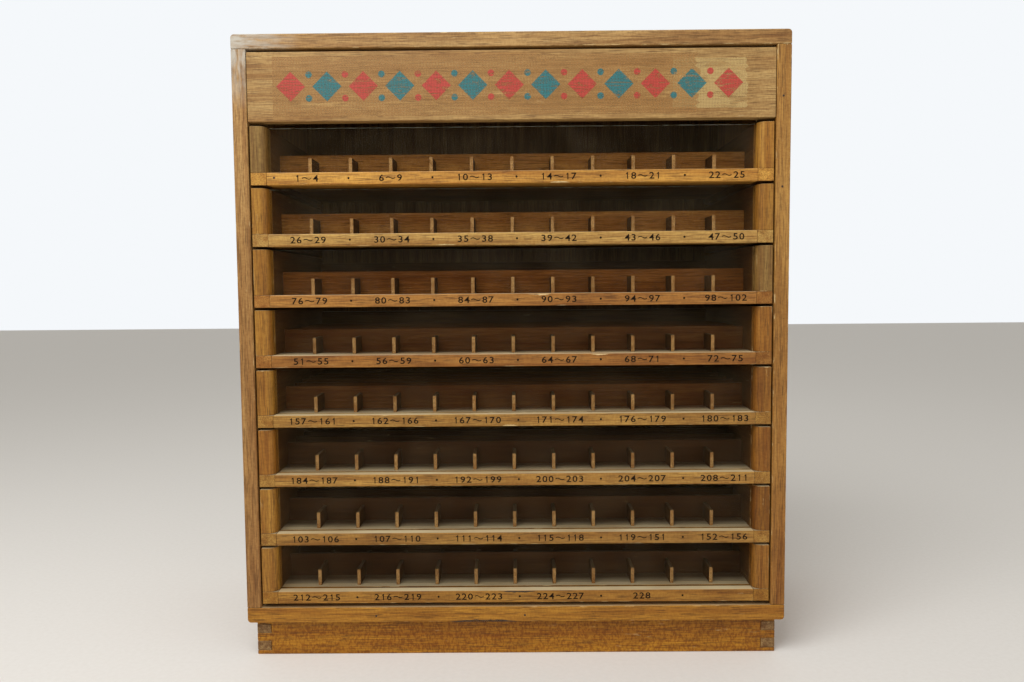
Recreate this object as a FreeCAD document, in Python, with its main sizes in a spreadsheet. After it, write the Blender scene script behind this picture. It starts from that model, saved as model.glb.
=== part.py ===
"""A thread cabinet: an open wooden case on a plinth, with eight shallow glass-fronted drawers.

X runs across the front, Y from the front to the back and Z up, in millimetres. The origin lies
under the middle of the plinth. Drawer 1 is the top one. The pieces of a drawer are drawn once,
in a frame whose origin is the middle of the drawer's front bottom edge, and then grouped and
lifted to each drawer's place in the case.
"""
import FreeCAD, Part
import Sketcher
import os
import re

DRAWERS = 8
COLUMNS = 12
ROWS = 6
PARTS_FOLDER = "parts"

# Each driving size: its name, its value and what it measures
SIZES = (
    ("cabinet_width", 455, "outside width of the case"),
    ("cabinet_depth", 195, "outside depth of the case"),
    ("side_thickness", 12, "side boards of the case"),
    ("top_thickness", 12, "top board"),
    ("bottom_thickness", 13, "bottom board"),
    ("corner_rounding", 3, "outer edges of the top and bottom boards"),
    ("back_thickness", 4, "back panel"),
    ("back_rebate", 6, "how far the back panel is let into the boards round it"),
    ("plinth_height", 30, "plinth under the bottom board"),
    ("plinth_inset", 6, "plinth set in from the case all round"),
    ("plinth_thickness", 12, "boards of the plinth"),
    ("finger_height", 8, "fingers of the plinth's corner joints"),
    ("header_height", 56, "sign board above the drawers"),
    ("header_thickness", 10, "sign board"),
    ("header_top_gap", 2.5, "open line above the sign board"),
    ("header_bottom_gap", 3, "open line between the sign board and the top drawer"),
    ("header_end_gap", 0.4, "open line at each end of the sign board"),
    ("cleat_width", 12, "blocks behind the sign board's ends, square in plan"),
    ("drawer_height", 48, "drawer's sides and posts"),
    ("drawer_gap", 2.2, "open line between one drawer and the next"),
    ("drawer_back_gap", 6.5, "room between a shut drawer and the back panel"),
    ("drawer_recess", 0.5, "drawer front behind the front of the case"),
    ("drawer_side_gap", 1.3, "open line at each side of a drawer"),
    ("lowest_gap", 3.4, "open line under the lowest drawer"),
    ("wall_thickness", 13, "drawer's side boards and posts"),
    ("rail_height", 10.3, "front rail of a drawer"),
    ("rail_depth", 20, "front rail from front to back"),
    ("rail_rounding", 1, "upper front edge of the rail"),
    ("post_depth", 14, "front post from front to back"),
    ("post_rounding", 7, "inner front edge of a post"),
    ("glass_thickness", 2.6, "pane of glass"),
    ("glass_setback", 8.4, "glass groove behind the drawer's front"),
    ("glass_groove", 4, "depth of the grooves that hold the glass"),
    ("glass_play", 0.2, "room round the glass in its grooves"),
    ("glass_drop", 0.5, "top edge of the glass under the posts' tops"),
    ("floor_thickness", 4, "drawer's bottom panel"),
    ("floor_groove", 4, "how far the bottom panel is let into the sides"),
    ("tongue_thickness", 2, "tongue of the bottom panel in the rail"),
    ("tongue_length", 4, "how far that tongue enters the rail"),
    ("back_board_thickness", 8, "back board of a drawer"),
    ("back_board_drop", 6, "back board's top under the sides' tops"),
    ("divider_thickness", 3, "strips that run from front to back"),
    ("divider_height", 13.7, "those strips above the floor"),
    ("divider_setback", 15, "front ends of those strips behind the drawer's front"),
    ("partition_thickness", 3, "partitions that run across"),
    ("partition_height", 20, "partitions above the floor"),
    ("partition_setback", 39, "front face of the first partition behind the drawer's front"),
    ("halving_play", 0.1, "room round a strip in a partition's notch"),
    ("runner_height", 8, "strips on the case that the drawers hang on"),
    ("runner_width", 6, "those strips, out from the side of the case"),
    ("runner_rise", 26, "underside of a runner above the drawer's underside"),
    ("runner_play", 0.3, "room round a runner in the drawer's groove"),
)

# Sizes and places that follow from the driving ones
FORMULAS = {
    "case_half": "cabinet_width / 2",
    "case_front": "0 - cabinet_depth / 2",
    "inside_half": "case_half - side_thickness",
    "side_bottom": "plinth_height + bottom_thickness",
    "drawer_pitch": "drawer_height + drawer_gap",
    "stack_height": "lowest_gap + %d * drawer_pitch + drawer_height" % (DRAWERS - 1),
    "header_bottom": "side_bottom + stack_height + header_bottom_gap",
    "side_height": "stack_height + header_bottom_gap + header_height + header_top_gap",
    "side_top": "side_bottom + side_height",
    "header_half": "inside_half - header_end_gap",
    "panel_half": "inside_half + back_rebate",
    "plinth_half": "case_half - plinth_inset",
    "plinth_depth": "cabinet_depth - 2 * plinth_inset",
    "plinth_front_face": "case_front + plinth_inset",
    "plinth_back_face": "plinth_front_face + plinth_depth",
    "drawer_front": "case_front + drawer_recess",
    "drawer_depth": "cabinet_depth - drawer_recess - drawer_back_gap - back_thickness",
    "drawer_half": "inside_half - drawer_side_gap",
    "tray_half": "drawer_half - wall_thickness",
    "floor_bottom": "rail_height - floor_thickness",
    "floor_half": "tray_half + floor_groove",
    "glass_bottom": "rail_height - glass_groove",
    "glass_half": "tray_half + glass_groove - glass_play",
    "glass_slot": "glass_thickness + 2 * glass_play",
    "back_board_front": "drawer_depth - back_board_thickness",
    "column_pitch": "(2 * tray_half + divider_thickness) / %d" % COLUMNS,
    "row_pitch": "(back_board_front - partition_setback) / %d" % (ROWS - 1),
    "notch_width": "divider_thickness + 2 * halving_play",
    "first_notch": "column_pitch - divider_thickness - halving_play",
    "runner_start": "post_depth + runner_play",
    "runner_groove_bottom": "runner_rise - runner_play",
    "runner_groove_height": "runner_height + 2 * runner_play",
    "runner_groove_depth": "runner_width - drawer_side_gap + runner_play",
}

doc = FreeCAD.newDocument("thread_cabinet")
nodes = []


def fill_sheet():
    """Puts every driving size in the sheet, with its meaning beside it."""
    sheet = doc.addObject("Spreadsheet::Sheet", "Sizes")
    for row, (name, size, meaning) in enumerate(SIZES, start=1):
        sheet.set("A%d" % row, meaning)
        sheet.set("B%d" % row, str(size))
        sheet.setAlias("B%d" % row, name)
    doc.recompute()
    return sheet


def cells(formula):
    """The formula with each size written as its cell of the sheet."""
    def cell(word):
        name = word.group()
        if name in FORMULAS:
            return "(" + cells(FORMULAS[name]) + ")"
        return "Sizes." + name
    return re.sub("[a-z_]+", cell, formula)


def value(formula):
    """What the formula comes to now, for the first draft of a sketch."""
    return float(sheet.evalExpression(cells(formula)))


def bind(item, **formulas):
    """Ties properties of an object to formulas."""
    for name, formula in formulas.items():
        item.setExpression(name, cells(formula))


def place(item, x="0", y="0", z="0"):
    """Ties the place of an object to formulas."""
    for axis, formula in (("x", x), ("y", y), ("z", z)):
        item.setExpression("Placement.Base." + axis, cells(formula))


def board(label, length, width, height, x, y, z):
    """A plain board with its low corner at x, y, z."""
    item = doc.addObject("Part::Box", label)
    bind(item, Length=length, Width=width, Height=height)
    place(item, x, y, z)
    return item


def cut(label, blank, *tools):
    """The blank with the shapes of the tools taken out of it."""
    tool = tools[0]
    if len(tools) > 1:
        tool = doc.addObject("Part::MultiFuse", label + "_tools")
        tool.Shapes = tools
    item = doc.addObject("Part::Cut", label)
    item.Base = blank
    item.Tool = tool
    return item


def mirrored(label, source):
    """The same piece for the other hand, across the middle plane."""
    item = doc.addObject("Part::Mirroring", label)
    item.Source = source
    item.Normal = FreeCAD.Vector(1, 0, 0)
    return item


def group(label, pieces, x="0", y="0", z="0"):
    """Separate pieces gathered under one label and carried to one place."""
    item = doc.addObject("Part::Compound", label)
    item.Links = pieces
    place(item, x, y, z)
    return item


def outline(body, role, corners):
    """A closed sketch of straight lines, each corner held by two formulas that aren't negative."""
    sketch = body.newObject("Sketcher::SketchObject", body.Name + "_outline")
    plane = next(item for item in body.Origin.OriginFeatures if item.Role == role)
    sketch.AttachmentSupport = [(plane, "")]
    sketch.MapMode = "FlatFace"
    points = [FreeCAD.Vector(value(across), value(up), 0) for across, up in corners]
    lines = [
        sketch.addGeometry(Part.LineSegment(start, end))
        for start, end in zip(points, points[1:] + points[:1])
    ]
    for line, following in zip(lines, lines[1:] + lines[:1]):
        sketch.addConstraint(Sketcher.Constraint("Coincident", line, 2, following, 1))
    for line, corner, point in zip(lines, corners, points):
        directions = (("DistanceX", corner[0], point.x, -2), ("DistanceY", corner[1], point.y, -1))
        for kind, formula, start, axis in directions:
            if formula == "0":
                sketch.addConstraint(Sketcher.Constraint("PointOnObject", line, 1, axis))
            else:
                index = sketch.addConstraint(Sketcher.Constraint(kind, -1, 1, line, 1, start))
                bind(sketch, **{"Constraints[%d]" % index: formula})
    return sketch


def rectangle(left, bottom, right, top):
    """The corners of a rectangle, for a sketch."""
    return [(left, bottom), (right, bottom), (right, top), (left, top)]


def padded(label, role, corners, length, side="One side"):
    """A body padded from one outline."""
    body = doc.addObject("PartDesign::Body", label)
    pad = body.newObject("PartDesign::Pad", label + "_pad")
    pad.Profile = outline(body, role, corners)
    pad.SideType = side
    bind(pad, Length=length)
    doc.recompute()
    return body


def pocketed(body, role, corners, depth, backwards):
    """Cuts an outline into a body and checks that it took something away."""
    before = body.Shape.Volume
    pocket = body.newObject("PartDesign::Pocket", body.Name + "_pocket")
    pocket.Profile = outline(body, role, corners)
    pocket.Reversed = backwards
    bind(pocket, Length=depth)
    doc.recompute()
    if body.Shape.Volume > before - 1:
        raise RuntimeError("a pocket cut nothing in " + body.Label)
    return pocket


def rounded(body, radius, chosen):
    """Rounds the edges of a body whose bounding box passes the test."""
    names = [
        "Edge%d" % number
        for number, edge in enumerate(body.Shape.Edges, start=1)
        if chosen(edge.BoundBox)
    ]
    base = body.Tip
    fillet = body.newObject("PartDesign::Fillet", body.Name + "_rounding")
    fillet.Base = (base, names)
    bind(fillet, Radius=radius)
    doc.recompute()


def case_boards():
    """Top and bottom boards over and under the sides, and a back panel let into all four."""
    back = board(
        "back_panel", "2 * panel_half", "back_thickness", "side_height + 2 * back_rebate",
        "0 - panel_half", "cabinet_depth / 2 - back_thickness", "side_bottom - back_rebate",
    )
    for label, thickness, z, rounded_height in (
        ("top_panel", "top_thickness", "side_top", "top_thickness"),
        ("bottom_panel", "bottom_thickness", "plinth_height", "0"),
    ):
        blank = padded(
            label + "_blank", "XZ_Plane", rectangle("0", "0", "cabinet_width", thickness),
            "cabinet_depth", "One side",
        )
        height = value(rounded_height)
        width = value("cabinet_width")
        rounded(blank, "corner_rounding", lambda box: (
            box.YLength > 1
            and abs(box.ZMin - height) < 0.001
            and min(abs(box.XMin), abs(box.XMax - width)) < 0.001
        ))
        place(blank, "0 - case_half", "cabinet_depth / 2", z)
        nodes.append(cut(label, blank, back))
    for label, x in (("left_side", "0 - case_half"), ("right_side", "inside_half")):
        blank = board(
            label + "_blank", "side_thickness", "cabinet_depth", "side_height",
            x, "case_front", "side_bottom",
        )
        nodes.append(cut(label, blank, back))
    nodes.append(back)


def header():
    """The sign board, held by a cleat behind each end."""
    nodes.append(board(
        "header_board", "2 * header_half", "header_thickness", "header_height",
        "0 - header_half", "case_front", "header_bottom",
    ))
    cleats = [
        board(
            label, "cleat_width", "cleat_width", "header_height",
            x, "case_front + header_thickness", "header_bottom",
        )
        for label, x in (
            ("left_cleat", "0 - inside_half"), ("right_cleat", "inside_half - cleat_width"),
        )
    ]
    nodes.append(group("header_cleats", cleats))


def plinth():
    """Four boards joined at the corners by fingers: two of each side board's show in front."""
    ends = (("left", "0 - plinth_half"), ("right", "plinth_half - plinth_thickness"))
    faces = (
        ("plinth_front", "plinth_front_face"),
        ("plinth_back", "plinth_back_face - plinth_thickness"),
    )
    long_boards = []
    for label, y in faces:
        fingers = [
            board(
                "%s_%s_finger_%d" % (label, end, quarter), "plinth_thickness", "plinth_thickness",
                "finger_height", x, y, "plinth_height * %d / 4 - finger_height / 2" % quarter,
            )
            for end, x in ends
            for quarter in (1, 3)
        ]
        blank = board(
            label + "_blank", "2 * plinth_half", "plinth_thickness", "plinth_height",
            "0 - plinth_half", y, "0",
        )
        long_boards.append(cut(label, blank, *fingers))
    nodes.extend(long_boards)
    for end, x in ends:
        blank = board(
            "plinth_%s_blank" % end, "plinth_thickness", "plinth_depth", "plinth_height",
            x, "plinth_front_face", "0",
        )
        nodes.append(cut("plinth_" + end, blank, *long_boards))


def drawer_place(number):
    """The height of a drawer's underside, counted from the lowest drawer."""
    return "side_bottom + lowest_gap + %d * drawer_pitch" % (DRAWERS - number)


def runners():
    """A strip on each side of the case for every drawer. Its front end stops the drawer's post."""
    strips = [
        board(
            "%s_runner_%d" % (hand, number), "runner_width", "drawer_depth - runner_start",
            "runner_height", x, "drawer_front + runner_start",
            drawer_place(number) + " + runner_rise",
        )
        for number in range(1, DRAWERS + 1)
        for hand, x in (("left", "0 - inside_half"), ("right", "inside_half - runner_width"))
    ]
    nodes.append(group("runners", strips))


def glass_pane():
    """The pane, and the slot that it needs in the rail, the posts and the sides."""
    pane = board(
        "pane", "2 * glass_half", "glass_thickness", "drawer_height - glass_drop - glass_bottom",
        "0 - glass_half", "glass_setback + glass_play", "glass_bottom",
    )
    slot = board(
        "glass_slot", "2 * glass_half + 2 * glass_play", "glass_slot", "drawer_height",
        "0 - glass_half - glass_play", "glass_setback", "glass_bottom",
    )
    return pane, slot


def floor_panel():
    """The bottom panel, level with the rail, with a tongue along its front edge."""
    panel = padded("floor_panel", "YZ_Plane", [
        ("0", "0"),
        ("tongue_length + drawer_depth - rail_depth", "0"),
        ("tongue_length + drawer_depth - rail_depth", "floor_thickness"),
        ("tongue_length", "floor_thickness"),
        ("tongue_length", "tongue_thickness"),
        ("0", "tongue_thickness"),
    ], "2 * floor_half", "Symmetric")
    place(panel, y="rail_depth - tongue_length", z="floor_bottom")
    return panel


def front_rail(slot, panel):
    """The rail between the sides' fingers, eased along its upper front edge."""
    blank = padded(
        "rail_blank", "YZ_Plane", rectangle("0", "0", "rail_depth", "rail_height"),
        "2 * tray_half", "Symmetric",
    )
    top = value("rail_height")
    rounded(blank, "rail_rounding", lambda box: (
        box.XLength > 1 and box.YMax < 0.001 and abs(box.ZMin - top) < 0.001
    ))
    return cut("rail", blank, slot, panel)


def side_wall(slot, panel):
    """A side board with a finger under its post, and a groove that hangs it on the runner."""
    blank = padded("wall_blank", "YZ_Plane", [
        ("0", "0"),
        ("drawer_depth", "0"),
        ("drawer_depth", "drawer_height"),
        ("post_depth", "drawer_height"),
        ("post_depth", "rail_height"),
        ("0", "rail_height"),
    ], "wall_thickness")
    groove = rectangle(
        "post_depth", "runner_groove_bottom",
        "drawer_depth", "runner_groove_bottom + runner_groove_height",
    )
    pocketed(blank, "YZ_Plane", groove, "runner_groove_depth", True)
    place(blank, "0 - drawer_half")
    return cut("left_wall", blank, slot, panel)


def front_post(slot):
    """A post on the side's finger, with its inner front edge rounded for a finger's grip."""
    blank = padded(
        "post_blank", "XY_Plane", rectangle("0", "0", "wall_thickness", "post_depth"),
        "drawer_height - rail_height",
    )
    inner = value("wall_thickness")
    rounded(blank, "post_rounding", lambda box: (
        box.ZLength > 1 and box.YMax < 0.001 and abs(box.XMin - inner) < 0.001
    ))
    place(blank, "0 - drawer_half", "0", "rail_height")
    return cut("left_post", blank, slot)


def back_board():
    """The drawer's back, standing on the floor between the sides."""
    return board(
        "back_board", "2 * tray_half", "back_board_thickness",
        "drawer_height - back_board_drop - rail_height",
        "0 - tray_half", "back_board_front", "rail_height",
    )


def divider_strips():
    """Low strips from front to back that part the columns."""
    return [
        board(
            "strip_%d" % column, "divider_thickness", "back_board_front - divider_setback",
            "divider_height", "%d * column_pitch - tray_half - divider_thickness" % column,
            "divider_setback", "rail_height",
        )
        for column in range(1, COLUMNS)
    ]


def cross_partitions():
    """Taller boards across the drawer, notched from below to straddle the strips."""
    comb = padded(
        "partition", "XZ_Plane", rectangle("0", "0", "2 * tray_half", "partition_height"),
        "partition_thickness",
    )
    notch = pocketed(comb, "XZ_Plane", rectangle(
        "first_notch", "0", "first_notch + notch_width", "divider_height + halving_play",
    ), "partition_thickness", True)
    row = comb.newObject("PartDesign::LinearPattern", "notches")
    row.Originals = [notch]
    row.Direction = (notch.Profile[0], ["H_Axis"])
    row.Occurrences = COLUMNS - 1
    bind(row, Length="%d * column_pitch" % (COLUMNS - 2))
    comb.Tip = row
    place(comb, "0 - tray_half", "partition_thickness", "rail_height")
    return [
        group("partition_%d" % number, [comb], y="partition_setback + %d * row_pitch" % number)
        for number in range(ROWS - 1)
    ]


def drawers():
    """The pieces of one drawer, then a group of each kind at every drawer's place."""
    pane, slot = glass_pane()
    panel = floor_panel()
    wall = side_wall(slot, panel)
    post = front_post(slot)
    kinds = (
        ("rail", [front_rail(slot, panel)]),
        ("walls", [wall, mirrored("right_wall", wall), back_board()]),
        ("posts", [post, mirrored("right_post", post)]),
        ("glass", [pane]),
        ("floor", [panel]),
        ("dividers", divider_strips() + cross_partitions()),
    )
    for number in range(1, DRAWERS + 1):
        for kind, pieces in kinds:
            label = "drawer_%d_%s" % (number, kind)
            nodes.append(group(label, pieces, y="drawer_front", z=drawer_place(number)))


def check_document():
    """Stops if any object failed or any piece isn't made of sound solids."""
    for item in doc.Objects:
        if "Invalid" in item.State or "Error" in item.State:
            raise RuntimeError("%s failed: %s" % (item.Label, item.State))
    for node in nodes:
        if node.Shape.isNull() or not node.Shape.isValid() or not node.Shape.Solids:
            raise RuntimeError("%s isn't sound" % node.Label)


def export():
    """Writes each node to a file of its own."""
    os.makedirs(PARTS_FOLDER, exist_ok=True)
    for node in nodes:
        node.Shape.exportStep(os.path.join(PARTS_FOLDER, node.Label + ".step"))
        box = node.Shape.BoundBox
        print("%-20s %2d solids  %6.1f %6.1f %6.1f  to  %6.1f %6.1f %6.1f" % (
            node.Label, len(node.Shape.Solids),
            box.XMin, box.YMin, box.ZMin, box.XMax, box.YMax, box.ZMax,
        ))


sheet = fill_sheet()
case_boards()
header()
plinth()
runners()
drawers()
doc.recompute()
check_document()
export()
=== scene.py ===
"""A worn shop cabinet for thread bobbins, with eight glass-fronted drawers, dressed for its picture.

Lengths are metres in the cabinet's own frame: X across the front, Y to the back, Z up.
"""
import math

import bmesh
import bpy
import numpy as np
from mathutils import Matrix, Vector


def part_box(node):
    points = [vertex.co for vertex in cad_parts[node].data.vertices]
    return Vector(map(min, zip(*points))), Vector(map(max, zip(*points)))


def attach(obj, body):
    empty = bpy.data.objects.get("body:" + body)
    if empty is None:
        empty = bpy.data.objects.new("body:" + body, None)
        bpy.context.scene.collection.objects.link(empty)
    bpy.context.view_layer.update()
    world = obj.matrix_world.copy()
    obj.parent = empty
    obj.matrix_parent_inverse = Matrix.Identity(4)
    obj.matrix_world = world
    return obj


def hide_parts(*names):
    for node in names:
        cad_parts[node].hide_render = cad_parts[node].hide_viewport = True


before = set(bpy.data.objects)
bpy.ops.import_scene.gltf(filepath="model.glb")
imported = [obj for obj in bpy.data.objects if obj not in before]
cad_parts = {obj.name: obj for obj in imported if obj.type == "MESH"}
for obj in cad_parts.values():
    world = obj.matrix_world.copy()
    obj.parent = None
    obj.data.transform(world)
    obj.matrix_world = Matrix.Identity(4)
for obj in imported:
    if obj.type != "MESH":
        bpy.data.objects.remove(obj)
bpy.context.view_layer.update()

MM = 0.001
DRAWERS = 8
DIGIT_HEIGHT = 5.4 * MM

# Varnish tone of each board of the case
CASE_TONES = {
    "top_panel": "#bd9a62", "bottom_panel": "#cd9a3a", "left_side": "#c0985d", "right_side": "#bb8d47",
    "back_panel": "#86653a", "header_board": "#c2a066", "header_cleats": "#86653a",
    "plinth_front": "#bd8322", "plinth_back": "#a6742c", "plinth_left": "#a6742c",
    "plinth_right": "#a6742c", "runners": "#94783f",
}
CASE_END_TONE = "#a48557"
# Tones that age has given the drawers' varnish, and tones of their bare trays that hold painted shade: the
# bare tones darken towards the lower drawers
AGED_AND_SHADED_TONES = {
    "gold": "#d09d48", "straw": "#c29c56", "honey": "#b68b44", "tan": "#b17d3b", "amber": "#b08034",
    "russet": "#a26f2a", "umber": "#8a5b1d", "drab": "#9a7c44",
    "bare_gold": "#bf8740", "bare_tan": "#ab6d2c", "bare_brown": "#7d5025", "bare_dark": "#593a1c",
}
# Rail, left post, right post and tray of each drawer, from the top drawer down; the tray tones darken
# downwards as painted shade
DRAWER_TONES = (
    ("gold", "drab", "amber", "bare_gold"),
    ("straw", "amber", "amber", "bare_gold"),
    ("tan", "amber", "drab", "bare_tan"),
    ("tan", "amber", "russet", "bare_brown"),
    ("honey", "amber", "russet", "bare_brown"),
    ("honey", "russet", "russet", "bare_dark"),
    ("honey", "amber", "umber", "bare_dark"),
    ("amber", "amber", "russet", "bare_dark"),
)
# Painted shade darkens the divider strips' side faces as though in shadow, and painted light makes their
# front ends paler
STRIP_PAINTED_SHADE_TONE = "#583a18"
STRIP_PAINTED_LIGHT_END_TONE = "#cda469"
WALL_TONE = "#74522a"

# Printed numbers of each drawer, from the top drawer down
RANGES = (
    ("1~4", "6~9", "10~13", "14~17", "18~21", "22~25"),
    ("26~29", "30~34", "35~38", "39~42", "43~46", "47~50"),
    ("76~79", "80~83", "84~87", "90~93", "94~97", "98~102"),
    ("51~55", "56~59", "60~63", "64~67", "68~71", "72~75"),
    ("157~161", "162~166", "167~170", "171~174", "176~179", "180~183"),
    ("184~187", "188~191", "192~199", "200~203", "204~207", "208~211"),
    ("103~106", "107~110", "111~114", "115~118", "119~151", "152~156"),
    ("212~215", "216~219", "220~223", "224~227", "228"),
)

# Chips in the rails: drawer, edge, start and stop along X and depth in millimetres, and bare or dark wood
RAIL_CHIPS = (
    (1, "bottom", 31, 47, 1.3, "#dcc08a"),
    (2, "bottom", -64, -46, 1.0, "#d3b57c"),
    (3, "top", 12, 32, 1.6, "#d8ba84"),
    (4, "top", 64, 80, 1.2, "#dcc08a"),
    (5, "bottom", -10, 3, 1.4, "#d3b57c"),
    (8, "top", -14, 19, 1.6, "#1d1209"),
)

# A Map Range node's sockets: its value, the limits that it runs between and what they become
VALUE, START, STOP, FIRST, LAST = range(5)
# A Mix node's sockets for its share and its two colours, and its output for the mixed colour
SHARE, UNDER, OVER, MIXED = 0, 6, 7, 2
# Settings of a Mix node that lays one colour over another, or multiplies it in
COVER = {"data_type": "RGBA"}
TINT = {"data_type": "RGBA", "blend_type": "MULTIPLY"}

rng = np.random.default_rng(8)


def linear(colour):
    """A hex sRGB colour as linear red, green, blue and full alpha."""
    parts = [int(colour[place:place + 2], 16) / 255 for place in (1, 3, 5)]
    return [p / 12.92 if p <= 0.04045 else ((p + 0.055) / 1.055) ** 2.4 for p in parts] + [1.0]


def add(tree, kind, inputs=None, out=0, **settings):
    """Adds a shader node with its settings, links or sets its inputs, and gives one of its outputs."""
    made = tree.nodes.new("ShaderNode" + kind)
    for name, setting in settings.items():
        setattr(made, name, setting)
    for socket, source in (inputs or {}).items():
        if isinstance(source, bpy.types.NodeSocket):
            tree.links.new(source, made.inputs[socket])
        else:
            made.inputs[socket].default_value = source
    return made.outputs[out] if made.outputs else None


def new_material(name):
    """An empty material, its tree, and the place of each point on the object."""
    made = bpy.data.materials.new(name)
    made.use_nodes = True
    made.node_tree.nodes.clear()
    return made, made.node_tree, add(made.node_tree, "TexCoord", out="Object")


def streaks(tree, grain, length, width, detail=3.0):
    """Noise drawn out along the grain: streaks of a length and a width in millimetres."""
    squeeze = (1 / (length * MM), 1 / (width * MM), 1 / (width * MM))
    drawn_out = add(tree, "VectorMath", {0: grain, 1: squeeze}, operation="MULTIPLY")
    return add(tree, "TexNoise", {"Vector": drawn_out, "Scale": 1.0, "Detail": detail, "Roughness": 0.6})


def wood_figure(tree, grain, fibres, pores, figure):
    """A board's own tone with bands of growth, a ripple across them, darker fibres and pore dashes."""
    colour = add(tree, "Attribute", out="Color", attribute_name="tone")
    layers = (
        (streaks(tree, grain, length=190, width=8), 0.38, 0.68, 0.6, "#b58a4c"),
        (streaks(tree, grain, length=1.7, width=3, detail=1.0), 0.42, 0.62, figure, "#b0884e"),
        (fibres, 0.4, 0.66, 0.5, "#8a6230"),
    )
    for pattern, start, stop, strength, tint in layers:
        share = add(tree, "MapRange", {VALUE: pattern, START: start, STOP: stop, FIRST: 0.0, LAST: strength})
        colour = add(tree, "Mix", {SHARE: share, UNDER: colour, OVER: linear(tint)}, MIXED, **TINT)
    dashes = add(tree, "Math", {0: pores, 1: 0.5}, operation="MULTIPLY")
    return add(tree, "Mix", {SHARE: dashes, UNDER: colour, OVER: linear("#4a2d10")}, MIXED, **COVER)


def stained(tree, colour, place, blotches):
    """Old stains in blotches, and specks of grime."""
    specks = add(tree, "TexNoise", {"Vector": place, "Scale": 1 / (2.2 * MM), "Detail": 3.0})
    stains = add(tree, "MapRange", {VALUE: blotches, START: 0.5, STOP: 0.74, FIRST: 0.0, LAST: 0.4})
    colour = add(tree, "Mix", {SHARE: stains, UNDER: colour, OVER: linear("#9a7444")}, MIXED, **TINT)
    grime = add(tree, "MapRange", {VALUE: specks, START: 0.69, STOP: 0.77, FIRST: 0.0, LAST: 0.4})
    return add(tree, "Mix", {SHARE: grime, UNDER: colour, OVER: linear("#3b2712")}, MIXED, **COVER)


def rubbed(tree, colour, scrapes, blotches, wear):
    """Pale scrapes along the grain where the varnish is gone, more and paler with more wear."""
    least = 0.7 - 0.2 * wear
    palest = 0.3 + 0.45 * wear
    rubs = add(tree, "MapRange", {VALUE: scrapes, START: least, STOP: least + 0.06, FIRST: 0.0, LAST: palest})
    patches = add(tree, "MapRange", {VALUE: blotches, START: 0.44, STOP: 0.58})
    rubs = add(tree, "Math", {0: rubs, 1: patches}, operation="MULTIPLY")
    return add(tree, "Mix", {SHARE: rubs, UNDER: colour, OVER: linear("#dcc08a")}, MIXED, **COVER)


def shaded_low_and_weathered(tree, colour, place, scrapes, damp_corner):
    """Painted shade that darkens the varnish low down, and wood that damp has turned grey in streaks round a
    corner.
    """
    height = add(tree, "SeparateXYZ", {0: place}, "Z")
    # Painted shade: the colour darkens towards the bottom of the case, where less light falls
    painted_low_shade = add(tree, "MapRange", {VALUE: height, START: 340 * MM, STOP: 60 * MM, FIRST: 0.0, LAST: 0.45})
    colour = add(tree, "Mix", {SHARE: painted_low_shade, UNDER: colour, OVER: linear("#c9a370")}, MIXED, **TINT)
    away = add(tree, "VectorMath", {0: place, 1: damp_corner}, "Value", operation="DISTANCE")
    damp = add(tree, "MapRange", {VALUE: away, START: 62 * MM, STOP: 14 * MM})
    silver = add(tree, "MapRange", {VALUE: scrapes, START: 0.36, STOP: 0.6, FIRST: 0.1, LAST: 1.0})
    silver = add(tree, "Math", {0: damp, 1: silver}, operation="MULTIPLY")
    return add(tree, "Mix", {SHARE: silver, UNDER: colour, OVER: linear("#b9b2a4")}, MIXED, **COVER)


def dusty(tree, colour, place, blotches, dust, dust_ends):
    """Pale dust on what faces up. With dust_ends, it lies at the front and fades towards that depth."""
    facing = add(tree, "SeparateXYZ", {0: add(tree, "NewGeometry", out="Normal")}, "Z")
    facing = add(tree, "MapRange", {VALUE: facing, START: 0.75, STOP: 0.97})
    settled = add(tree, "MapRange", {VALUE: blotches, START: 0.3, STOP: 0.6, FIRST: 0.6 * dust, LAST: dust})
    settled = add(tree, "Math", {0: facing, 1: settled}, operation="MULTIPLY")
    if dust_ends:
        fades = dust_ends - 14 * MM
        depth = add(tree, "SeparateXYZ", {0: place}, "Y")
        fade = add(tree, "MapRange", {VALUE: depth, START: fades, STOP: dust_ends, FIRST: 1.0, LAST: 0.15})
        settled = add(tree, "Math", {0: settled, 1: fade}, operation="MULTIPLY")
    return add(tree, "Mix", {SHARE: settled, UNDER: colour, OVER: linear("#dfd0a8")}, MIXED, **COVER)


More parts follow.
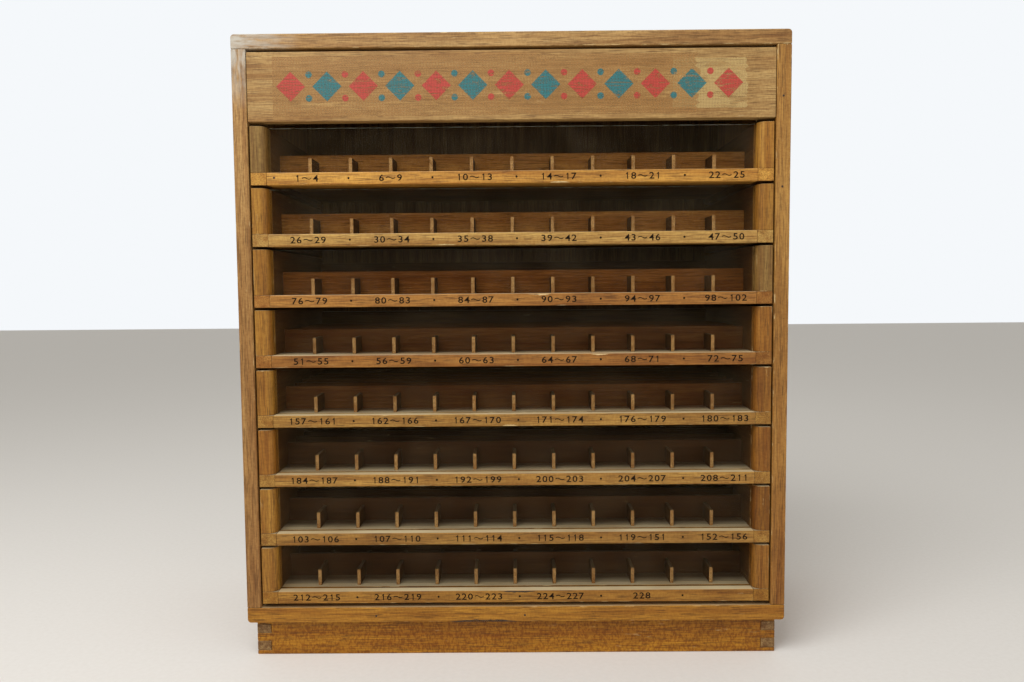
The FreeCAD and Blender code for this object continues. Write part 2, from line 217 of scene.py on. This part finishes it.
def aged_wood(name, gloss, dust, wear, figure=0.2, damp_corner=None, dust_ends=None):
    """Open-pored ash or lauan, planed and varnished, then handled for decades.

    The eye sees short dark pore dashes along the grain, soft bands of darker growth with a ripple
    across them as strong as figure, a patchy satin varnish, grime in blotches, pale rubbed spots and
    dust on what faces up. With a damp_corner, damp greys the wood there, and painted shade darkens it low
    down.
    """
    made, tree, place = new_material(name)
    grain = add(tree, "Attribute", out="Vector", attribute_name="grain")
    fibres = streaks(tree, grain, length=30, width=1.0)
    # Pores are about 0.3 mm wide; they are drawn 0.7 mm wide so that they show
    pores = streaks(tree, grain, length=14, width=0.7, detail=1.0)
    pores = add(tree, "MapRange", {VALUE: pores, START: 0.565, STOP: 0.625})
    scrapes = streaks(tree, grain, length=14, width=3.0, detail=5.0)
    blotches = add(tree, "TexNoise", {"Vector": place, "Scale": 1 / (60 * MM), "Detail": 7.0})

    colour = wood_figure(tree, grain, fibres, pores, figure)
    colour = stained(tree, colour, place, blotches)
    colour = rubbed(tree, colour, scrapes, blotches, wear)
    # Greying by damp round the corner, and painted shade towards the bottom
    if damp_corner:
        colour = shaded_low_and_weathered(tree, colour, place, scrapes, damp_corner)
    colour = dusty(tree, colour, place, blotches, dust, dust_ends)

    smoothest = 0.62 - 0.2 * gloss
    roughest = 0.76 - 0.2 * gloss
    rough = add(tree, "MapRange", {VALUE: blotches, START: 0.3, STOP: 0.7, FIRST: smoothest, LAST: roughest})
    height = add(tree, "Math", {0: fibres, 1: pores}, operation="SUBTRACT")
    relief = add(tree, "Bump", {"Height": height, "Strength": 0.3, "Distance": 0.15 * MM})
    shader = add(tree, "BsdfPrincipled", {
        "Base Color": colour, "Roughness": rough, "Normal": relief, "Specular IOR Level": 0.1 + 0.15 * gloss,
    })
    add(tree, "OutputMaterial", {"Surface": shader})
    return made


def old_glass():
    """Drawn sheet glass with a film of dust: clear, a little hazy in patches, bright at a slant."""
    made, tree, place = new_material("dusty_sheet_glass")
    smears = add(tree, "TexNoise", {"Vector": place, "Scale": 1 / (30 * MM), "Detail": 6.0})
    specks = add(tree, "TexNoise", {"Vector": place, "Scale": 1 / (1.6 * MM), "Detail": 2.0})
    film = add(tree, "MapRange", {VALUE: smears, START: 0.4, STOP: 0.75, FIRST: 0.004, LAST: 0.032})
    dots = add(tree, "MapRange", {VALUE: specks, START: 0.74, STOP: 0.8, FIRST: 0.0, LAST: 0.1})
    slant = add(tree, "LayerWeight", {"Blend": 0.25}, "Fresnel")
    slant = add(tree, "Math", {0: slant, 1: 0.4}, operation="MULTIPLY")
    seen = add(tree, "Math", {0: film, 1: dots}, operation="ADD")
    seen = add(tree, "Math", {0: seen, 1: slant}, operation="ADD")
    shader = add(tree, "BsdfPrincipled", {
        "Base Color": linear("#8d7a58"), "Roughness": 0.06, "IOR": 1.52, "Alpha": seen,
    })
    add(tree, "OutputMaterial", {"Surface": shader})
    return made


def glass_edge():
    """The snapped upper edge of a pane: pale green-grey, with dust caught on it."""
    made, tree, place = new_material("snapped_glass_edge")
    chips = add(tree, "TexNoise", {"Vector": place, "Scale": 1 / (6 * MM), "Detail": 4.0})
    chips = add(tree, "MapRange", {VALUE: chips, START: 0.4, STOP: 0.65})
    colour = add(tree, "Mix", {
        SHARE: chips, UNDER: linear("#5d655c"), OVER: linear("#b9bfb2"),
    }, MIXED, **COVER)
    shader = add(tree, "BsdfPrincipled", {"Base Color": colour, "Roughness": 0.25})
    add(tree, "OutputMaterial", {"Surface": shader})
    return made


def stamping_ink():
    """Stamped black ink on varnish: matt, a little broken where the grain took none."""
    made, tree, place = new_material("stamped_ink")
    gaps = add(tree, "TexNoise", {"Vector": place, "Scale": 1 / (1.1 * MM), "Detail": 3.0})
    gaps = add(tree, "MapRange", {VALUE: gaps, START: 0.58, STOP: 0.8, FIRST: 0.0, LAST: 0.3})
    colour = add(tree, "Mix", {
        SHARE: gaps, UNDER: linear("#1d130a"), OVER: linear("#6b4a25"),
    }, MIXED, **COVER)
    shader = add(tree, "BsdfPrincipled", {"Base Color": colour, "Roughness": 0.85, "Specular IOR Level": 0.1})
    add(tree, "OutputMaterial", {"Surface": shader})
    return made


def nail_iron():
    """Rusted iron nail heads, punched level with the wood: near black, with brown spots."""
    made, tree, place = new_material("rusted_nail_iron")
    rust = add(tree, "TexNoise", {"Vector": place, "Scale": 1 / (0.7 * MM), "Detail": 3.0})
    colour = add(tree, "Mix", {
        SHARE: rust, UNDER: linear("#1d150e"), OVER: linear("#4a3220"),
    }, MIXED, **COVER)
    shader = add(tree, "BsdfPrincipled", {"Base Color": colour, "Metallic": 0.3, "Roughness": 0.6})
    add(tree, "OutputMaterial", {"Surface": shader})
    return made


def worn_film(name, colour, cover, patch, weave=0.0):
    """Old transfer film, sign paint or a torn surface: thin, scuffed along X and flaked in patches.

    Cover is its most opaque, and a patch's width is in millimetres. A weave above nought shows the
    cloth backing as fine crossed lines.
    """
    made, tree, place = new_material(name)
    flakes = streaks(tree, place, length=3 * patch, width=patch, detail=6.0)
    flakes = add(tree, "MapRange", {VALUE: flakes, START: 0.3, STOP: 0.46, FIRST: 0.15})
    scuffs = streaks(tree, place, length=20, width=1.2, detail=2.0)
    scuffs = add(tree, "MapRange", {VALUE: scuffs, START: 0.3, STOP: 0.5, FIRST: 0.5 * cover, LAST: cover})
    kept = add(tree, "Math", {0: flakes, 1: scuffs}, operation="MULTIPLY")
    if weave:
        # Threads are about 0.5 mm apart; they are drawn 2.4 mm apart so that they show
        spacing = 2.4 * MM
        repeat = 0.314  # how far apart the lines of a wave texture of scale 1 are
        for direction in "XZ":
            threads = add(tree, "TexWave", {
                "Vector": place, "Scale": repeat / spacing, "Distortion": 4.0, "Detail": 3.0,
            }, "Fac", bands_direction=direction)
            threads = add(tree, "MapRange", {VALUE: threads, START: 0.2, STOP: 0.8, FIRST: 1.0 - weave})
            kept = add(tree, "Math", {0: kept, 1: threads}, operation="MULTIPLY")
    shader = add(tree, "BsdfPrincipled", {"Base Color": linear(colour), "Roughness": 0.5, "Alpha": kept})
    add(tree, "OutputMaterial", {"Surface": shader})
    return made


def pale_floor():
    """Matt pale studio board."""
    made, tree, place = new_material("pale_studio_board")
    grit = add(tree, "TexNoise", {"Vector": place, "Scale": 1 / (4 * MM)})
    colour = add(tree, "Mix", {
        SHARE: grit, UNDER: linear("#e6e3de"), OVER: linear("#eeece8"),
    }, MIXED, **COVER)
    shader = add(tree, "BsdfPrincipled", {"Base Color": colour, "Roughness": 0.8})
    add(tree, "OutputMaterial", {"Surface": shader})
    return made


def new_object(name, mesh, *materials):
    """An object at the origin for a finished mesh."""
    for finish in materials:
        mesh.materials.append(finish)
    made = bpy.data.objects.new(name, mesh)
    bpy.context.scene.collection.objects.link(made)
    return made


def joined(count, first, second):
    """A number for each item that says which group of linked items it belongs to.

    Each item takes the least number among those it is linked to, until nothing changes.
    """
    number = np.arange(count)
    while True:
        before = number.copy()
        np.minimum.at(number, first, number[second])
        np.minimum.at(number, second, number[first])
        if (before == number).all():
            return np.unique(number, return_inverse=True)[1]


def solids_of_faces(faces):
    """The solid that each face belongs to: faces are linked by the edges that just two of them share."""
    edges = np.sort(faces[:, [0, 1, 1, 2, 2, 0]].reshape(-1, 2), axis=1)
    owner = np.repeat(np.arange(len(faces)), 3)
    which, count = np.unique(edges, axis=0, return_inverse=True, return_counts=True)[1:]
    order = np.argsort(which.ravel(), kind="stable")
    paired = order[count[which.ravel()[order]] == 2]
    return joined(len(faces), *owner[paired].reshape(-1, 2).T)


def solids_of_corners(mesh):
    """The solid that each corner belongs to: corners are linked by edges."""
    edges = np.empty(len(mesh.edges) * 2, np.int32)
    mesh.edges.foreach_get("vertices", edges)
    return joined(len(mesh.vertices), *edges.reshape(-1, 2).T)


def merged_surface(name):
    """A node's surface with the doubled corners of each solid merged and its flat faces joined."""
    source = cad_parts[name].data
    corners = np.empty(len(source.vertices) * 3, np.float32)
    source.vertices.foreach_get("co", corners)
    loops = np.empty(len(source.loops), np.int32)
    source.loops.foreach_get("vertex_index", loops)
    finest = 0.01 * MM
    grid = np.round(corners.reshape(-1, 3) / finest).astype(np.int64)
    places, same = np.unique(grid, axis=0, return_inverse=True)
    faces = same.ravel()[loops].reshape(-1, 3)
    a, b, c = faces.T
    faces = faces[(a != b) & (b != c) & (a != c)]
    own = solids_of_faces(faces)[:, None] * len(places) + faces
    kept, faces = np.unique(own, return_inverse=True)
    mesh = bpy.data.meshes.new(name + "_worn")
    mesh.from_pydata(places[kept % len(places)] * finest, [], faces.reshape(-1, 3).tolist())
    shape = bmesh.new()
    shape.from_mesh(mesh)
    bmesh.ops.dissolve_limit(shape, angle_limit=math.radians(1), verts=shape.verts, edges=shape.edges)
    shape.to_mesh(mesh)
    shape.free()
    return mesh


def grain_of(corners, solid):
    """Coordinates along each solid's longest side first, shifted at random, and that side's axis."""
    furthest = 4.0
    grain = np.zeros_like(corners)
    axis = np.zeros(solid.max() + 1, int)
    for index in range(len(axis)):
        mine = solid == index
        extent = np.ptp(corners[mine], axis=0)
        order = np.argsort(-extent)
        axis[index] = order[0]
        grain[mine] = corners[mine][:, order] + rng.uniform(0, furthest, 3)
    return grain, axis


def faces_of(mesh, solid, axis):
    """The solid that each face belongs to, and whether the face lies across that solid's grain."""
    least_cosine = 0.9
    normals = np.empty(len(mesh.polygons) * 3, np.float32)
    mesh.polygons.foreach_get("normal", normals)
    starts = np.empty(len(mesh.polygons), np.int32)
    mesh.polygons.foreach_get("loop_start", starts)
    loops = np.empty(len(mesh.loops), np.int32)
    mesh.loops.foreach_get("vertex_index", loops)
    owner = solid[loops[starts]]
    along = np.take_along_axis(np.abs(normals.reshape(-1, 3)), axis[owner][:, None], axis=1)
    return owner, along[:, 0] > least_cosine


def worn_board(name, body, slot, finishes, tones, end_tone, ease):
    """Replaces a node by its own surface with eased edges, a grain and a tone for each solid.

    With two tones, the second goes to solids right of the middle, or to those that run front to back.
    Faces across the grain get the end tone. Each solid is a little lighter or darker, at random.
    """
    spread = 0.08
    mesh = merged_surface(name)
    corners = np.empty(len(mesh.vertices) * 3, np.float32)
    mesh.vertices.foreach_get("co", corners)
    corners = corners.reshape(-1, 3)
    solid = solids_of_corners(mesh)
    along, axis = grain_of(corners, solid)
    owner, cut = faces_of(mesh, solid, axis)
    palette = np.array([linear(tone) for tone in tones])
    middle = np.array([corners[solid == index].mean(axis=0) for index in range(len(axis))])
    lengthwise = axis == 1 if (axis == 1).any() else middle[:, 0] > 0
    shade = palette[lengthwise.astype(int) % len(palette)][owner]
    shade[cut] = linear(end_tone)
    shade[:, :3] *= rng.uniform(1 - spread, 1 + spread, (len(axis), 1))[owner]
    grain = mesh.attributes.new("grain", "FLOAT_VECTOR", "POINT")
    grain.data.foreach_set("vector", along.ravel())
    tone = mesh.attributes.new("tone", "FLOAT_COLOR", "FACE")
    tone.data.foreach_set("color", shade.ravel())
    mesh.polygons.foreach_set("use_smooth", np.ones(len(mesh.polygons), bool))
    made = new_object(name + "_worn", mesh, *finishes)
    bevel = made.modifiers.new("eased_edges", "BEVEL")
    bevel.width = ease
    bevel.segments = 2
    bevel.limit_method = "ANGLE"
    bevel.angle_limit = math.radians(40)
    bevel.harden_normals = True
    bevel.material = len(finishes) - 1
    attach(made, body)
    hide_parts(name)


def pane(number, clear, edge):
    """A flat pane with its upper edge in a material of its own: a box from its six faces."""
    name = "drawer_%d_glass" % number
    low, high = (np.array(corner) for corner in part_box(name))
    pick = np.array([[x, y, z] for x in (0, 1) for y in (0, 1) for z in (0, 1)])
    corners = low + pick * (high - low)
    faces = [(0, 1, 3, 2), (4, 6, 7, 5), (0, 4, 5, 1), (2, 3, 7, 6), (0, 2, 6, 4), (1, 5, 7, 3)]
    mesh = bpy.data.meshes.new(name + "_pane")
    mesh.from_pydata(corners, [], faces)
    mesh.polygons.foreach_set("material_index", [0, 0, 0, 0, 0, 1])
    made = new_object(name + "_pane", mesh, clear, edge)
    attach(made, "drawer_%d" % number)
    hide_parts(name)


def digit_shapes():
    """The outline of each digit as flat corners and faces, centred on its width.

    The one is a stem with a flag, drawn here.
    """
    widen = 1.2
    thicken = 0.012
    shapes = {}
    for digit in "023456789":
        curve = bpy.data.curves.new("digit", "FONT")
        curve.body = digit
        curve.resolution_u = 3
        curve.offset = thicken
        holder = bpy.data.objects.new("digit", curve)
        mesh = bpy.data.meshes.new_from_object(holder)
        corners = np.empty(len(mesh.vertices) * 3, np.float32)
        mesh.vertices.foreach_get("co", corners)
        corners = corners.reshape(-1, 3)[:, :2]
        corners = corners - [(corners[:, 0].min() + corners[:, 0].max()) / 2, corners[:, 1].min()]
        faces = [tuple(face.vertices) for face in mesh.polygons]
        shapes[digit] = (corners * [widen, 1] * DIGIT_HEIGHT / np.ptp(corners[:, 1]), faces)
        bpy.data.objects.remove(holder)
        bpy.data.curves.remove(curve)
        bpy.data.meshes.remove(mesh)
    one = [(-0.03, 0), (0.12, 0), (0.12, 1), (0.01, 1), (-0.2, 0.8), (-0.14, 0.69), (-0.03, 0.77)]
    shapes["1"] = (np.array(one) * DIGIT_HEIGHT, [tuple(range(len(one)))])
    return shapes


def grid_faces(rows, columns, closed=False):
    """Four-cornered faces between the rows of a grid; a closed one joins its last column to its first."""
    index = np.arange(rows * columns).reshape(rows, columns)
    if closed:
        index = np.hstack([index, index[:, :1]])
    corners = (index[:-1, :-1], index[:-1, 1:], index[1:, 1:], index[1:, :-1])
    return np.stack(corners, axis=-1).reshape(-1, 4).tolist()


def wave_shape(length, swing, stroke):
    """A wavy dash: the line z = -swing sin(2 pi x / length), half a stroke wide each way."""
    columns = 17
    along, across = np.meshgrid(np.linspace(-0.5, 0.5, columns), (-stroke / 2, stroke / 2))
    line = across - swing * np.sin(2 * math.pi * along)
    return np.stack([along * length, line], axis=-1).reshape(-1, 2), grid_faces(2, columns)


def disc_shape(radius, corners=12):
    """A flat disc as one face."""
    turn = np.arange(corners) * 2 * math.pi / corners
    return np.stack([np.cos(turn), np.sin(turn)], axis=1) * radius, [tuple(range(corners))]


def stamped(name, placed, y, ink):
    """Flat shapes gathered into one mesh that faces the front, at a depth y."""
    corners = np.concatenate([shape + at for (shape, _), at in placed])
    starts = np.cumsum([0] + [len(shape) for (shape, _), _ in placed])
    faces = [
        tuple(int(start) + corner for corner in face)
        for start, ((_, own), _) in zip(starts, placed)
        for face in own
    ]
    mesh = bpy.data.meshes.new(name)
    mesh.from_pydata(np.insert(corners, 1, y, axis=1), [], faces)
    shape = bmesh.new()
    shape.from_mesh(mesh)
    for face in shape.faces:
        if face.normal.y > 0:
            face.normal_flip()
    shape.to_mesh(mesh)
    shape.free()
    return new_object(name, mesh, ink)


def rail_numbers(number, digits, wave, dot, ink):
    """The numbers along a rail: ranges at an even pitch, with a dot midway between them."""
    digit_step = 5.2 * MM
    wave_room = 9.6 * MM
    pitch = 68.8 * MM
    first = -168.2 * MM
    foot = 2.6 * MM
    half_height = DIGIT_HEIGHT / 2
    margin = 4 * MM
    lift = 0.06 * MM
    low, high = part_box("drawer_%d_rail" % number)
    base = low[2] + foot
    placed = []
    for place, text in enumerate(RANGES[number - 1]):
        room = [wave_room if sign == "~" else digit_step for sign in text]
        at = first + place * pitch - sum(room) / 2
        for sign, width in zip(text, room):
            shape, rise = (wave, half_height) if sign == "~" else (digits[sign], 0)
            placed.append((shape, (at + width / 2, base + rise)))
            at += width
    for place in range(len(RANGES[0])):
        placed.append((dot, (first + (place + 0.5) * pitch, base + half_height)))
    placed = [item for item in placed if item[1][0] < high[0] - margin]
    made = stamped("drawer_%d_numbers" % number, placed, low[1] - lift, ink)
    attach(made, "drawer_%d" % number)


def nail_heads(name, body, places, front, iron):
    """Shallow domes: at a share t of the rise, the radius is that of a quarter circle, sqrt(1 - t t)."""
    sink = 0.08 * MM
    radius = 1.0 * MM
    rise = 0.25 * MM
    sides = 12
    rings = 4
    turn, share = np.meshgrid(np.arange(sides) * 2 * math.pi / sides, np.linspace(0, 0.9, rings))
    reach = radius * np.sqrt(1 - share ** 2)
    dome = np.stack([reach * np.cos(turn), -rise * share, reach * np.sin(turn)], axis=-1).reshape(-1, 3)
    faces = grid_faces(rings, sides, closed=True) + [list(range((rings - 1) * sides, rings * sides))]
    corners = np.concatenate([dome + (x, front + sink, z) for x, z in places])
    every = [
        [corner + index * len(dome) for corner in face]
        for index in range(len(places))
        for face in faces
    ]
    mesh = bpy.data.meshes.new(name)
    mesh.from_pydata(corners, [], every)
    made = new_object(name, mesh, iron)
    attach(made, body)


def torn_sheet(left, right, low, high, torn):
    """A flat sheet whose right edge steps in and out at random by up to a length."""
    steps = 24
    edge = np.stack([right + rng.uniform(-torn, torn, steps), np.linspace(low, high, steps)], axis=1)
    corners = np.concatenate([[(left, high), (left, low)], edge])
    return corners, [tuple(range(len(corners)))]


def header_sign():
    """A scuffed film on the sign board, torn at its right, and a plain row of lozenges and dots."""
    low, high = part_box("header_board")
    middle = (low[2] + high[2]) / 2
    left = low[0] + 21 * MM
    right = high[0] - 24 * MM
    lift = 0.05 * MM
    film_thickness = 0.04 * MM
    # Name, left and right ends, half height, depth of the tear, colour, cover and weave
    sheets = (
        ("sign_residue", right - 60 * MM, right, 20 * MM, 1.5 * MM, "#d6b878", 0.55, 0.12),
        ("sign_film", left, right - 40 * MM, 24 * MM, 3 * MM, "#a87a3f", 0.75, 0.4),
    )
    for name, start, stop, half, torn, colour, cover, weave in sheets:
        sheet = torn_sheet(start, stop, middle - half, middle + half, torn)
        film = worn_film(name, colour, cover, patch=9, weave=weave)
        made = stamped(name, [(sheet, (0, 0))], low[1] - lift, film)
        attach(made, "case")
        lift += film_thickness
    count = 13
    step = (right - left) / count
    dot_rise = 0.32 * step
    lozenge = np.array([(-0.4, 0), (0, -0.4), (0.4, 0), (0, 0.4)]) * step, [(0, 1, 2, 3)]
    dot = disc_shape(0.09 * step, corners=20)
    paints = (("red", "#b5392e"), ("teal", "#1c6c70"))
    for turn, (word, colour) in enumerate(paints):
        placed = [(lozenge, (left + (place + 0.5) * step, middle)) for place in range(turn, count, 2)]
        placed += [
            (dot, (left + (place + 1) * step, middle + side * dot_rise))
            for place in range(1 - turn, count - 1, 2)
            for side in (-1, 1)
        ]
        paint = worn_film("faded_%s_sign_paint" % word, colour, cover=0.95, patch=2.2, weave=0.16)
        made = stamped("sign_%s_shapes" % word, placed, low[1] - lift, paint)
        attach(made, "case")


def splinter(name, body, start, stop, edge, depth, y, colour):
    """A long sliver torn from an edge: its depth swells as a sine from one end to the other."""
    columns = 25
    along, share = np.meshgrid(np.linspace(0, 1, columns), (0, 1))
    ragged = depth * np.sin(math.pi * along) * rng.uniform(0.55, 1.0, columns)
    sliver = np.stack([start + (stop - start) * along, edge + share * ragged], axis=-1).reshape(-1, 2)
    torn = worn_film(name + "_wood", colour, cover=1.0, patch=4)
    made = stamped(name, [((sliver, grid_faces(2, columns)), (0, 0))], y, torn)
    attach(made, body)


def chip_rails():
    """Chips in the upper and lower edges of some rails, just inside where the edge is eased."""
    upper_ease = 0.5 * MM
    lower_ease = 0.3 * MM
    lift = 0.05 * MM
    for number, side, start, stop, depth, colour in RAIL_CHIPS:
        low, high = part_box("drawer_%d_rail" % number)
        edge, inward = low[2] + lower_ease, depth
        if side == "top":
            edge, inward = high[2] - upper_ease, -depth
        splinter("drawer_%d_chip_%s" % (number, side), "drawer_%d" % number,
                 start * MM, stop * MM, edge, inward * MM, low[1] - lift, colour)


def dress_case():
    """Every board of the case, its nails, the torn edge of its bottom board and its sign."""
    ease = 0.8 * MM
    low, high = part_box("top_panel")
    damp_corner = (low[0] - 4.5 * MM, low[1] + 0.5 * MM, high[2] - 0.3 * MM)
    # With damp_corner, the two case finishes also carry painted shade that darkens them low down
    boards = aged_wood("varnished_case_ash", gloss=1.0, dust=0.4, wear=0.2, damp_corner=damp_corner)
    edges = aged_wood("rubbed_case_edges", gloss=0.6, dust=0.3, wear=0.8, damp_corner=damp_corner)
    sign = aged_wood("varnished_sign_ash", gloss=1.0, dust=0.4, wear=0.2)
    plinth = aged_wood("rippled_plinth_lauan", gloss=1.0, dust=0.4, wear=0.2, figure=0.6)
    for name, tone in CASE_TONES.items():
        finishes = (boards, edges)
        if name == "header_board":
            finishes = (sign, sign)
        elif name.startswith("plinth"):
            finishes = (plinth, plinth)
        worn_board(name, "case", "case_wood", finishes, (tone,), CASE_END_TONE, ease)
    low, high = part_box("bottom_panel")
    bottom_nails = [(x * MM, low[2] + 5.5 * MM) for x in (-118, 8)]
    side_nails = [(high[0] - 6.5 * MM, z * MM) for z in (393, 466)]
    nail_heads("case_nails", "case", bottom_nails + side_nails, low[1], nail_iron())
    lift = 0.06 * MM
    splinter("bottom_splinter", "case", -56 * MM, 4 * MM, low[2], 2.6 * MM,
             low[1] - lift, "#2b1a0b")
    header_sign()


def dress_drawers():
    """The boards, glass and numbers of every drawer, the chips in the rails and a nail in the top one."""
    low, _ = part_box("drawer_1_rail")
    dust_ends = low[1] + 31 * MM
    nail = (-195 * MM, low[2] + 6 * MM)
    fronts = aged_wood("varnished_drawer_ash", gloss=1.0, dust=0.75, wear=0.2)
    front_edges = aged_wood("rubbed_drawer_edges", gloss=0.6, dust=0.7, wear=0.8)
    walls = aged_wood("varnished_drawer_sides", gloss=0.7, dust=0.5, wear=0.2)
    trays = aged_wood("bare_tray_wood", gloss=0.1, dust=0.75, wear=0.1, dust_ends=dust_ends)
    cells = aged_wood("bare_divider_wood", gloss=0.1, dust=0.12, wear=0.1)
    clear = old_glass()
    snapped = glass_edge()
    ink = stamping_ink()
    digits = digit_shapes()
    wave = wave_shape(length=7.6 * MM, swing=0.6 * MM, stroke=0.75 * MM)
    dot = disc_shape(0.9 * MM)
    for number in range(1, DRAWERS + 1):
        body = "drawer_%d" % number
        rail, left, right, tray = (AGED_AND_SHADED_TONES[tone] for tone in DRAWER_TONES[number - 1])
        # Kind of board, slot, faces and edges, tones, end tone, and how far its edges are eased
        looks = (
            ("rail", "drawer_wood", (fronts, front_edges), (rail,), rail, 0.5 * MM),
            ("posts", "drawer_wood", (fronts, front_edges), (left, right), left, 0.5 * MM),
            ("walls", "drawer_wood", (walls, walls), (WALL_TONE,), rail, 0.4 * MM),
            # The tray tone, also on the dividers' partitions, holds painted shade that deepens in the lower
            # drawers
            ("floor", "tray_wood", (trays, trays), (tray,), tray, 0.3 * MM),
            # The strips' tone is painted shade and their end tone is painted light
            ("dividers", "tray_wood", (cells, cells), (tray, STRIP_PAINTED_SHADE_TONE), STRIP_PAINTED_LIGHT_END_TONE, 0.3 * MM),
        )
        for kind, *look in looks:
            worn_board("%s_%s" % (body, kind), body, *look)
        pane(number, clear, snapped)
        rail_numbers(number, digits, wave, dot, ink)
    chip_rails()
    nail_heads("drawer_1_nail", "drawer_1", [nail], low[1], nail_iron())


def studio():
    """A pale floor, a soft key light from the upper left, a weak fill and an even pale world."""
    half_width = 6.0
    corners = np.array([(-1, -1, 0), (1, -1, 0), (1, 1, 0), (-1, 1, 0)]) * half_width
    mesh = bpy.data.meshes.new("studio_floor")
    mesh.from_pydata(corners, [], [(0, 1, 2, 3)])
    new_object("studio_floor", mesh, pale_floor())
    target = Vector((0, 0, 0.28))
    # Name, place, width and watts
    lamps = (
        ("key_light", (-0.45, -0.8, 1.3), 0.9, 14.5),
        ("fill_light", (1.5, -1.6, 0.9), 1.6, 6.0),
    )
    for name, spot, width, power in lamps:
        lamp = bpy.data.lights.new(name, "AREA")
        lamp.size = width
        lamp.energy = power
        holder = bpy.data.objects.new(name, lamp)
        holder.location = spot
        holder.rotation_euler = (target - Vector(spot)).to_track_quat("-Z", "Y").to_euler()
        bpy.context.scene.collection.objects.link(holder)
    world = bpy.data.worlds.new("studio_world")
    world.use_nodes = True
    tree = world.node_tree
    tree.nodes.clear()
    seen = add(tree, "LightPath", out="Is Camera Ray")
    for ray in ("Is Glossy Ray", "Is Transmission Ray"):
        seen = add(tree, "Math", {0: seen, 1: add(tree, "LightPath", out=ray)}, operation="MAXIMUM")
    lighting = add(tree, "Background", {"Color": linear("#fffaf2"), "Strength": 0.47})
    backdrop = add(tree, "Background", {"Color": linear("#f5f8fb"), "Strength": 1.0})
    shown = add(tree, "MixShader", {0: seen, 1: lighting, 2: backdrop})
    add(tree, "OutputWorld", {"Surface": shown})
    bpy.context.scene.world = world


def camera():
    """The photograph's view: a 28 mm lens just in front of the cabinet, tipped slightly down."""
    spot = (0.00253, -0.756, 0.3107)
    pitch = math.radians(3.686)
    roll = math.radians(-0.478)
    yaw = math.radians(0.307)
    lens = bpy.data.cameras.new("photo_camera")
    lens.sensor_width = 36.0
    lens.lens = 28.0
    holder = bpy.data.objects.new("photo_camera", lens)
    turn = Matrix.Rotation(yaw, 4, "Z") @ Matrix.Rotation(math.pi / 2 - pitch, 4, "X")
    holder.matrix_world = Matrix.Translation(spot) @ turn @ Matrix.Rotation(roll, 4, "Z")
    bpy.context.scene.collection.objects.link(holder)
    bpy.context.scene.camera = holder


dress_case()
dress_drawers()
studio()
camera()
bpy.context.scene.view_settings.view_transform = "Standard"
